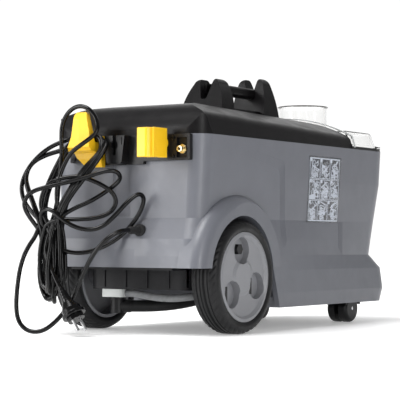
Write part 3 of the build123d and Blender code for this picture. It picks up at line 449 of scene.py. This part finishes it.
def gland():
    """Slim ribbed strain relief where the cord leaves the body."""
    ribs = [(GLAND_RIB_X - GLAND_RIB_PITCH * k + x, r) for k in range(GLAND_RIBS)
            for x, r in GLAND_RIB]
    profile = GLAND_COLLAR + ribs + GLAND_END
    obj = mesh_object("gland_sleeve", *turned(profile, GLAND_Y, GLAND_Z, 32), "root", "rubber",
                      smooth=False)
    bevel(obj, .0003)
    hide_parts("cord_gland")


def lid_bead():
    """Bright rounded edge of the clear lid where it meets the cover; its whitish, half-clear tint
    is a painted highlight.
    """
    arch = []
    for k in range(ARCH_STEPS + 1):
        y = ARCH_HALF * (2 * k / ARCH_STEPS - 1)
        arch.append((y, ARCH_Z + ARCH_RISE * (1 - (y / ARCH_HALF) ** 2)))
    far_foot = [(-y, z) for y, z in reversed(ARCH_FOOT)]
    outline = [Vector((ARCH_X, y, z)) for y, z in ARCH_FOOT + arch + far_foot]
    along, across = ARCH_BEAD
    rings = []
    for before, place, after in zip(outline[:1] + outline, outline, outline[1:] + outline[-1:]):
        ahead = after - before
        out = Vector((0, -ahead.z, ahead.y)).normalized()
        rings.append([place + out * (across * math.sin(t)) + Vector((along * math.cos(t), 0, 0))
                      for t in turns(14)])
    mesh_object("lid_bead", *ring_mesh(rings), "lid", "clear_edge")


def dome_bead():
    """Rounded edge round the top of the clear dome; its dark brown, half-clear tint is a painted
    dark line of shade.
    """
    rings = []
    for turn in turns(72):
        out = Vector((math.cos(turn), math.sin(turn), 0))
        rings.append([DOME_EDGE + out * (DOME_EDGE_R + DOME_BEAD_R * math.cos(t))
                      + Vector((0, 0, DOME_BEAD_R * math.sin(t))) for t in turns(12)])
    mesh_object("dome_bead", *ring_mesh(rings, joined=True), "lid", "dome_edge")


def tyre(side):
    """Tyre with ribs round its tread, cut across at the shoulders into leaning blocks."""
    section = TYRE_SECTION + [(r, TYRE_WIDTH - d) for r, d in reversed(TYRE_SECTION[:-1])]
    rings = []
    for k, turn in enumerate(turns(TREAD_BLOCKS * BLOCK_STEPS)):
        ring = []
        for r, depth in section:
            edge = min(depth, TYRE_WIDTH - depth)
            lean = TREAD_LEAN * (edge - LEAN_MIDDLE) / WHEEL_R
            angle = turn + (lean if depth < TYRE_WIDTH / 2 else -lean)
            if k % BLOCK_STEPS in CUT_STEPS and CUT_FROM < edge < CUT_TO:
                r -= CUT_DEPTH
            ring.append((WHEEL_X + r * math.cos(angle), side * (TYRE_OUTER_Y - depth),
                         WHEEL_R + r * math.sin(angle)))
        rings.append(ring)
    verts, faces = ring_mesh(rings, joined=True)
    if side < 0:
        faces = [tuple(reversed(f)) for f in faces]
    name = "left" if side > 0 else "right"
    obj = mesh_object(f"tyre_{name}", verts, faces, f"wheel_{name}", "tyre")
    crisp = obj.modifiers.new("crisp edges", "EDGE_SPLIT")
    crisp.split_angle = math.radians(42)
    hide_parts(f"wheel_{name}_tyre")


# ---------------------------------------------------------------- pictograms on the label

class Drawing:
    """Thin printed strokes, laid just outside the label film.

    Places are u along the side wall and v up it, both from 0 to 1 over the whole label.
    """

    def __init__(self):
        self.verts, self.faces = [], []

    def point(self, u, v):
        z = LABEL_LOW[1] + v * (LABEL_HIGH[1] - LABEL_LOW[1])
        x = LABEL_LOW[0] + u * (LABEL_HIGH[0] - LABEL_LOW[0])
        return Vector((x, wall_y(x, z) - PRINT_LIFT, z))

    def patch(self, *corners):
        start = len(self.verts)
        self.verts += [self.point(u, v) for u, v in corners]
        self.faces.append(tuple(range(start, start + len(corners))))

    def stroke(self, points, width=.007):
        for (u0, v0), (u1, v1) in zip(points, points[1:]):
            run = math.hypot(u1 - u0, v1 - v0) or 1e-6
            du, dv = -(v1 - v0) / run * width, (u1 - u0) / run * width
            self.patch((u0 - du, v0 - dv), (u1 - du, v1 - dv),
                       (u1 + du, v1 + dv), (u0 + du, v0 + dv))

    def loop(self, u, v, ru, rv, count, start=0.0, span=1.0):
        turn = [2 * math.pi * (start + span * k / count) for k in range(count + 1)]
        self.stroke([(u + ru * math.cos(t), v + rv * math.sin(t)) for t in turn])


def wall_y(x, z):
    """The side wall's Y under the label, read from the film's own mesh."""
    film = NODES["label_film"]
    near = film.matrix_world.inverted() @ Vector((x, -.2, z))
    hit, place, *_ = film.ray_cast(near, Vector((0, 1, 0)))
    return (film.matrix_world @ place).y if hit else -.1475


def pictogram(art, chance, left, right, low, high):
    """One framed drawing: machines on wheels, a hose, rings, loose strokes and a pointer."""
    def at(u, v):
        return left + u * (right - left), low + v * (high - low)

    art.stroke([(left, low), (right, low), (right, high), (left, high), (left, low)], .005)
    # blank tab in the corner
    art.patch((left, high - .05), (left + .06, high - .05), (left + .06, high), (left, high))
    for _ in range(3):
        u0, v0 = chance.uniform(.1, .45), chance.uniform(.08, .4)
        u1, v1 = u0 + chance.uniform(.25, .5), v0 + chance.uniform(.2, .4)
        art.stroke([at(u0, v0), at(u1, v0), at(u1, v1), at(u0 + .08, v1 + .06), at(u0, v0)])
        art.loop(*at(u0 + .1, v0), .030, .030, 8)
        art.loop(*at(u1, v0), .022, .022, 8)
    hose = [at(chance.uniform(.05, .95), v) for v in (.95, .78, .62, .45, .3)]
    art.stroke(hose)
    art.stroke([(u + .02, v) for u, v in hose], .004)
    for _ in range(5):
        art.loop(*at(chance.uniform(.2, .85), chance.uniform(.2, .85)), chance.uniform(.02, .05),
                 chance.uniform(.02, .04), 9, chance.random(), chance.uniform(.5, 1))
    for _ in range(11):
        u0, v0 = at(chance.uniform(.1, .8), chance.uniform(.05, .85))
        u1, v1 = u0 + chance.uniform(-.07, .09), v0 + chance.uniform(-.07, .08)
        art.stroke([(u0, v0), (min(max(u1, left), right), min(max(v1, low), high))], .006)
    u0, v0 = at(chance.uniform(.3, .7), chance.uniform(.3, .6))
    art.patch((u0, v0), (u0 + .05, v0 + .012), (u0, v0 + .035))


def label_print():
    """A grid of small line drawings inside a thin frame, without any lettering."""
    art = Drawing()
    chance = random.Random(4)
    rows = len(LABEL_GRID)
    for row, columns in enumerate(LABEL_GRID):
        low, high = 1 - (row + 1) / rows + LABEL_MARGIN, 1 - row / rows - LABEL_MARGIN
        for left, right in zip(columns, columns[1:]):
            pictogram(art, chance, left + LABEL_MARGIN, right - LABEL_MARGIN, low, high)
    art.patch((.015, .345), (.20, .345), (.21, .395), (.16, .43), (.015, .40))
    art.stroke([(.0, .0), (1, .0), (1, 1), (.0, 1), (.0, .0)], .004)
    mesh_object("label_print", art.verts, art.faces, "root", "ink", smooth=False)


# ---------------------------------------------------------------- mains cord

def stray(chance, reach):
    """A small random step, of at most reach each way in X, Y and Z."""
    return Vector([chance.uniform(-most, most) for most in reach])


def hank_points():
    """Centreline of the wound cord: for each lap its upper half, then its hanging half."""
    loose = random.Random(11)
    route = []
    for upper, back, width, drop in LAPS:
        shift = stray(loose, LAP_STRAY)
        for x, y, z in upper:
            on_hook = x > HOOK_REAR_X and z > HOOK_TROUGH_Z
            own = stray(loose, UPPER_STRAY)
            route.append(Vector((x, y, z)) + (shift * HOOK_STRAY if on_hook else shift) + own)
        if not drop:
            continue
        for x, y, z in HANGING:
            own = stray(loose, LOWER_STRAY)
            # a narrow lap is turned edge-on, so its width goes into its depth
            edge_on = math.sqrt(max(0, 1 - width ** 2))
            depth = x - back + HANGING_DEPTH + (y - WAIST_Y) * edge_on
            side = WAIST_Y + (y - WAIST_Y) * width + shift.y
            route.append(Vector((depth, side, WAIST_Z - (WAIST_Z - z) * drop)) + own)
    return route


def cord():
    """The whole mains cord as one smooth curve, from the gland to the plug."""
    curve = bpy.data.curves.new("mains_cord", "CURVE")
    curve.dimensions = "3D"
    curve.bevel_depth = CORD_D / 2
    curve.bevel_resolution = 5
    curve.resolution_u = 6
    curve.use_fill_caps = True
    route = CORD_LEAD + hank_points() + CORD_TAIL
    spline = curve.splines.new("NURBS")
    spline.points.add(len(route) - 1)
    for point, place in zip(spline.points, route):
        point.co = (*place, 1)
    spline.order_u = 3
    spline.use_endpoint_u = True
    obj = bpy.data.objects.new("mains_cord", curve)
    scene.collection.objects.link(obj)
    curve.materials.append(MATERIALS["cord_black"])
    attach(obj, "root")
    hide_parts("cord_lead", "cord_hank", "cord_tail")


# ---------------------------------------------------------------- stage, light and camera

def stage():
    mesh = bpy.data.meshes.new("floor")
    r = FLOOR_REACH
    mesh.from_pydata([(-r, -r, 0), (r, -r, 0), (r, r, 0), (-r, r, 0)], [], [(0, 1, 2, 3)])
    floor = bpy.data.objects.new("floor", mesh)
    scene.collection.objects.link(floor)
    mat, tree, shader = new_material("pale floor")
    base = ramp(tree, noise(tree, 1.5, 2), [(0.3, (.92, .92, .92)), (0.7, (.94, .94, .94))])
    tree.links.new(base, shader.inputs["Base Color"])
    shader.inputs["Roughness"].default_value = 0.5
    shader.inputs["Emission Color"].default_value = (1, 1, 1, 1)
    shader.inputs["Emission Strength"].default_value = FLOOR_GLOW
    mesh.materials.append(mat)


def area_light(name, place, target, size, power):
    data = bpy.data.lights.new(name, "AREA")
    data.shape = "RECTANGLE"
    data.size, data.size_y = size
    data.energy = power
    obj = bpy.data.objects.new(name, data)
    scene.collection.objects.link(obj)
    obj.location = place
    obj.rotation_euler = (Vector(target) - Vector(place)).to_track_quat("-Z", "Y").to_euler()


def sun_light():
    data = bpy.data.lights.new("overhead", "SUN")
    data.energy = SUN_STRENGTH
    data.angle = math.radians(SUN_SOFTNESS)
    sun = bpy.data.objects.new("overhead", data)
    scene.collection.objects.link(sun)
    sun.rotation_euler = SUN_DIRECTION.to_track_quat("-Z", "Y").to_euler()


def backdrop():
    """A white backdrop behind the object as the camera sees it, in a dimmer room."""
    world = bpy.data.worlds.new("studio")
    scene.world = world
    world.use_nodes = True
    tree = world.node_tree
    coords = tree.nodes.new("ShaderNodeTexCoord")
    facing = tree.nodes.new("ShaderNodeVectorMath")
    facing.operation = "DOT_PRODUCT"
    yaw = math.radians(CAMERA_YAW)
    facing.inputs[1].default_value = (math.sin(yaw), math.cos(yaw), 0)
    tree.links.new(coords.outputs["Generated"], facing.inputs[0])
    spread = node(tree, "ShaderNodeMapRange", From_Min=BACKDROP_EDGE, From_Max=BACKDROP_FULL,
                  To_Min=ROOM_LIGHT, To_Max=BACKDROP_LIGHT)
    tree.links.new(facing.outputs["Value"], spread.inputs["Value"])
    background = tree.nodes["Background"]
    background.inputs["Color"].default_value = (1, 1, 1, 1)
    tree.links.new(spread.outputs["Result"], background.inputs["Strength"])


def lights():
    backdrop()
    sun_light()
    area_light("key", place=(-2.2, 1.5, 0.9), target=(-.1, 0, .2), size=(0.9, 1.6), power=34)
    area_light("strip", place=(-1.35, -1.95, .75), target=(-.28, -.13, .22), size=(0.22, 1.3),
               power=16)
    scene.view_settings.view_transform = "Standard"


def camera():
    data = bpy.data.cameras.new("camera")
    data.lens = CAMERA_LENS
    data.sensor_width = 36
    data.clip_end = 50
    obj = bpy.data.objects.new("camera", data)
    scene.collection.objects.link(obj)
    turn = Matrix.Rotation(math.radians(-CAMERA_YAW), 4, "Z")
    tilt = Matrix.Rotation(math.radians(90 + CAMERA_PITCH), 4, "X")
    roll = Matrix.Rotation(math.radians(CAMERA_ROLL), 4, "Z")
    obj.matrix_world = Matrix.Translation(CAMERA_PLACE) @ turn @ tilt @ roll
    scene.camera = obj


dress_cad_nodes()
turning_hook()
gland()
lid_bead()
dome_bead()
tyre(-1)
tyre(1)
label_print()
cord()
stage()
lights()
camera()
